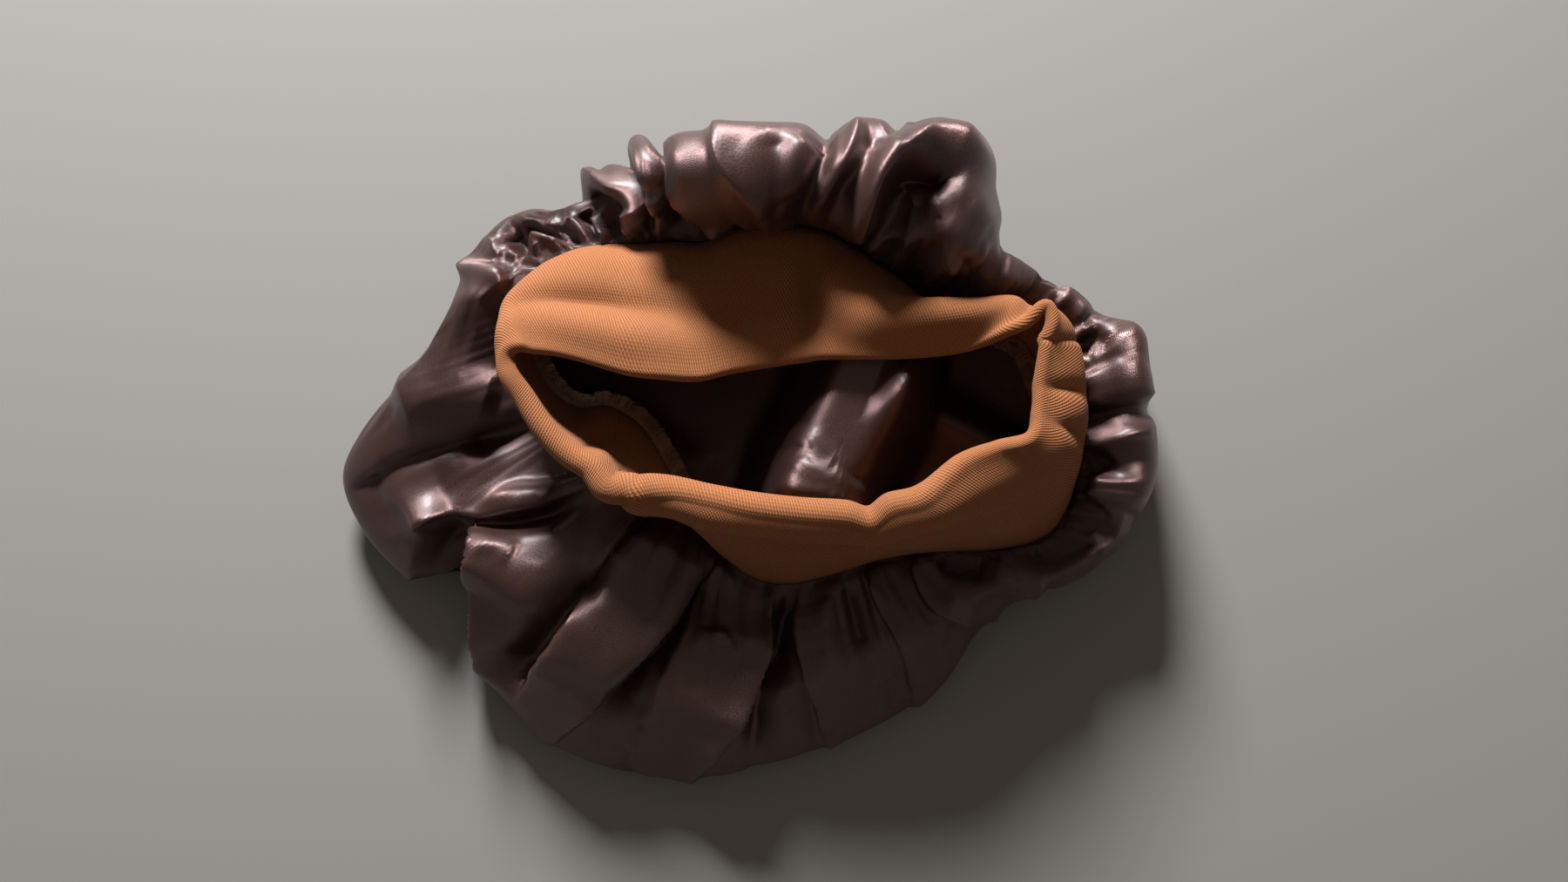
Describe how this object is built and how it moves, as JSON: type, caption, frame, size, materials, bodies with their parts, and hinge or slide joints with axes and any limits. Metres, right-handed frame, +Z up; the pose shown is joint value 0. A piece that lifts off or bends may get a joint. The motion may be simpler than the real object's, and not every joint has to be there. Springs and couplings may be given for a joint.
{
  "type": "sleep bonnet",
  "caption": "Satin sleep bonnet with a gathered bag crown and a wide folded knit band, lying on its crown with its mouth open upwards.",
  "frame": {"origin": "middle of the footprint's bounding box, on the face it rests on", "axes": "+X along the longest side of the bonnet as it lies, +Y away from the viewer, +Z up out of the mouth"},
  "size_m": [0.3304, 0.2652, 0.1027],
  "materials": {
    "satin": "glossy woven satin",
    "rib_knit": "matt fine rib knit",
    "overlock_thread": "fuzzy overlocked edge"
  },
  "bodies": {
    "root": {"satin_crown": "satin", "knit_band": "rib_knit", "overlock_seam": "overlock_thread"}
  },
  "joints": []
}
